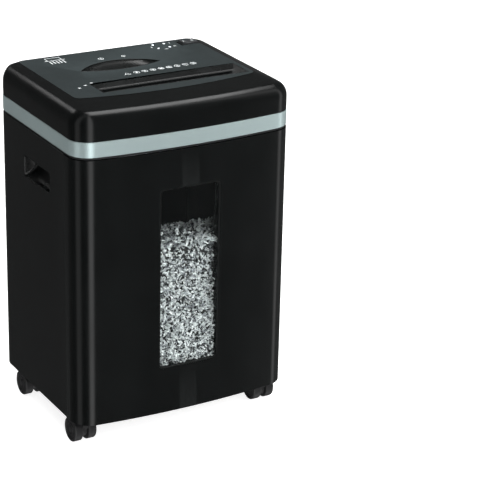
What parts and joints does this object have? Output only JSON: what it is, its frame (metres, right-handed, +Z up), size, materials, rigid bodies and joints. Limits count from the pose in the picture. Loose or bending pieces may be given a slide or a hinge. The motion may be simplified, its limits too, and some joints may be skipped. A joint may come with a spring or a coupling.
{
  "type": "paper shredder",
  "caption": "Floor-standing paper shredder with paper and disc entries, silver trim band, pull-out bin with a tall window, side grips and swivel casters.",
  "frame": {"origin": "on the floor under the middle of the body", "axes": "+Z up, front faces -Y, +X to the right seen from the front"},
  "size_m": [0.366, 0.296, 0.549],
  "materials": {
    "shell_black": "satin black moulded plastic",
    "inner_black": "matt black moulded plastic",
    "silver_trim": "satin silver paint on plastic",
    "plate_steel": "zinc plated",
    "cutter_steel": "hardened and ground",
    "bronze": "sintered",
    "gear_steel": "sintered",
    "gear_plastic": "natural acetal",
    "motor_can": "rolled and painted",
    "copper": "wound",
    "board_green": "solder mask",
    "component": "moulded",
    "window_clear": "clear polycarbonate",
    "paper": "loose confetti-cut paper",
    "wheel_black": "moulded nylon",
    "indicator": "translucent",
    "screw_zinc": "zinc plated",
    "rocker_black": "fine texture"
  },
  "bodies": {
    "cabinet": {"side_panel_left": "shell_black", "side_panel_right": "shell_black", "rear_panel": "shell_black", "base_plate": "inner_black", "panel_screws": "screw_zinc", "bin_runners": "inner_black", "bin_glides": "gear_plastic", "head_chassis": "inner_black", "trim_band": "silver_trim", "top_cover": "shell_black", "paper_guide": "shell_black", "disc_guide": "shell_black", "disc_chute": "inner_black", "rocker_housing": "inner_black", "indicator_lenses": "indicator", "carry_handle_left": "inner_black", "carry_handle_right": "inner_black", "side_plate_left": "plate_steel", "side_plate_right": "plate_steel", "tie_rods": "plate_steel", "shaft_bushings": "bronze", "comb_front": "inner_black", "comb_rear": "inner_black", "gearbox_cover": "inner_black", "idler_pin": "plate_steel", "motor_can": "motor_can", "motor_endcap": "inner_black", "circuit_board": "board_green", "board_components": "component", "bin_sensor": "inner_black", "cord_gland": "inner_black", "caster_sockets": "inner_black"},
    "front_cutter": {"front_shaft": "plate_steel", "front_cutters": "cutter_steel", "front_sync_gear": "gear_steel"},
    "rear_cutter": {"rear_shaft": "plate_steel", "rear_cutters": "cutter_steel", "rear_sync_gear": "gear_steel", "drive_gear": "gear_steel"},
    "idler": {"idler_gear": "gear_steel"},
    "motor_rotor": {"motor_shaft": "plate_steel", "motor_pinion": "gear_steel", "motor_armature": "copper", "cooling_fan": "gear_plastic"},
    "rocker": {"power_rocker": "rocker_black"},
    "bin": {"bin_tub": "inner_black", "bin_front": "shell_black", "window_bezel": "inner_black", "window_pane": "window_clear", "paper_shreds": "paper"},
    "caster_front_left": {"caster_yoke_front_left": "wheel_black"},
    "wheels_front_left": {"caster_wheels_front_left": "wheel_black"},
    "caster_front_right": {"caster_yoke_front_right": "wheel_black"},
    "wheels_front_right": {"caster_wheels_front_right": "wheel_black"},
    "caster_rear_left": {"caster_yoke_rear_left": "wheel_black"},
    "wheels_rear_left": {"caster_wheels_rear_left": "wheel_black"},
    "caster_rear_right": {"caster_yoke_rear_right": "wheel_black"},
    "wheels_rear_right": {"caster_wheels_rear_right": "wheel_black"}
  },
  "joints": [
    {"name": "bin_slide", "type": "slide", "parent": "cabinet", "child": "bin", "axis": [0, -1, 0], "range_m": [0, 0.235]},
    {"name": "rear_cutter_turn", "type": "hinge", "parent": "cabinet", "child": "rear_cutter", "pos_m": [0, -0.017, 0.4685], "axis": [1, 0, 0], "continuous": true},
    {"name": "front_cutter_turn", "type": "hinge", "parent": "cabinet", "child": "front_cutter", "pos_m": [0, -0.0545, 0.4685], "axis": [1, 0, 0], "continuous": true},
    {"name": "idler_turn", "type": "hinge", "parent": "cabinet", "child": "idler", "pos_m": [0, 0.01678, 0.488], "axis": [1, 0, 0], "continuous": true},
    {"name": "motor_turn", "type": "hinge", "parent": "cabinet", "child": "motor_rotor", "pos_m": [0, 0.04737, 0.50036], "axis": [1, 0, 0], "continuous": true},
    {"name": "rocker_tilt", "type": "hinge", "parent": "cabinet", "child": "rocker", "pos_m": [0.1356, 0.117, 0.5405], "axis": [0, 1, 0], "range_deg": [-7, 7]},
    {"name": "swivel_front_left", "type": "hinge", "parent": "cabinet", "child": "caster_front_left", "pos_m": [-0.159, -0.104, 0.02], "axis": [0, 0, 1], "continuous": true},
    {"name": "roll_front_left", "type": "hinge", "parent": "caster_front_left", "child": "wheels_front_left", "pos_m": [-0.159, -0.092, 0.02], "axis": [1, 0, 0], "continuous": true},
    {"name": "swivel_front_right", "type": "hinge", "parent": "cabinet", "child": "caster_front_right", "pos_m": [0.159, -0.104, 0.02], "axis": [0, 0, 1], "continuous": true},
    {"name": "roll_front_right", "type": "hinge", "parent": "caster_front_right", "child": "wheels_front_right", "pos_m": [0.159, -0.092, 0.02], "axis": [1, 0, 0], "continuous": true},
    {"name": "swivel_rear_left", "type": "hinge", "parent": "cabinet", "child": "caster_rear_left", "pos_m": [-0.159, 0.08, 0.02], "axis": [0, 0, 1], "continuous": true},
    {"name": "roll_rear_left", "type": "hinge", "parent": "caster_rear_left", "child": "wheels_rear_left", "pos_m": [-0.159, 0.092, 0.02], "axis": [1, 0, 0], "continuous": true},
    {"name": "swivel_rear_right", "type": "hinge", "parent": "cabinet", "child": "caster_rear_right", "pos_m": [0.159, 0.08, 0.02], "axis": [0, 0, 1], "continuous": true},
    {"name": "roll_rear_right", "type": "hinge", "parent": "caster_rear_right", "child": "wheels_rear_right", "pos_m": [0.159, 0.092, 0.02], "axis": [1, 0, 0], "continuous": true}
  ],
  "couplings": [
    {"joint": "front_cutter_turn", "follows": "rear_cutter_turn", "ratio": -1},
    {"joint": "idler_turn", "follows": "rear_cutter_turn", "ratio": -3.875},
    {"joint": "motor_turn", "follows": "rear_cutter_turn", "ratio": 17.438}
  ]
}
